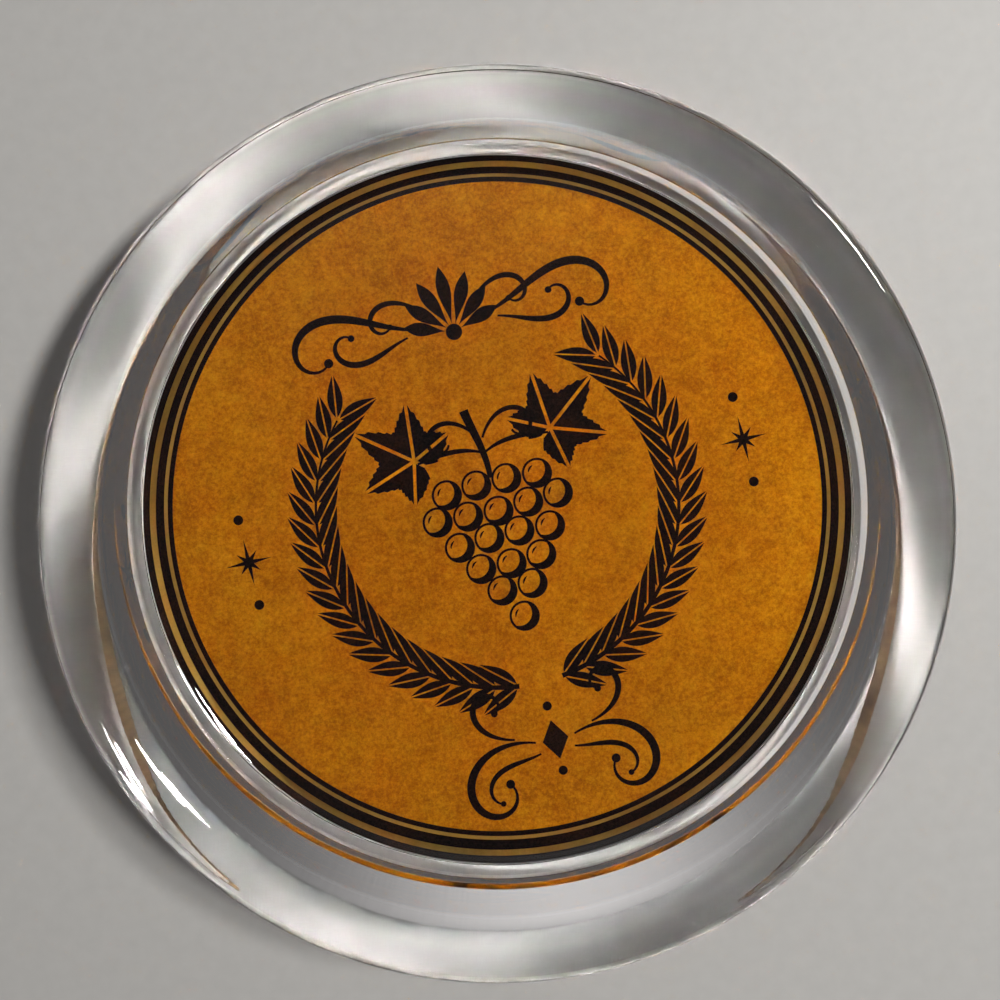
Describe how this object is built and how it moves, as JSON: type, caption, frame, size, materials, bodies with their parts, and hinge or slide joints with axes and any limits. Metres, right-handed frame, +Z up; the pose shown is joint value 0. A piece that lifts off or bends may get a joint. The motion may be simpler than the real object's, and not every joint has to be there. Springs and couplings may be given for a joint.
{
  "type": "glass coaster",
  "caption": "Round heavy pressed-glass coaster with a raised rounded rim, a flat recess, a printed paper label under the glass and a cork pad to stand on.",
  "frame": {"origin": "middle of the pad's underside, on the surface that the coaster stands on", "axes": "+Z up along the coaster's axis of revolution, +X along the print's reading direction"},
  "size_m": [0.127, 0.127, 0.0209],
  "materials": {
    "clear_glass": "polished",
    "clear_adhesive": "gloss",
    "label_paper": "matte",
    "pad_adhesive": "satin",
    "cork": "matte"
  },
  "bodies": {
    "root": {"glass_body": "clear_glass", "label_adhesive": "clear_adhesive", "printed_label": "label_paper", "pad_adhesive": "pad_adhesive", "cork_pad": "cork"}
  },
  "joints": []
}
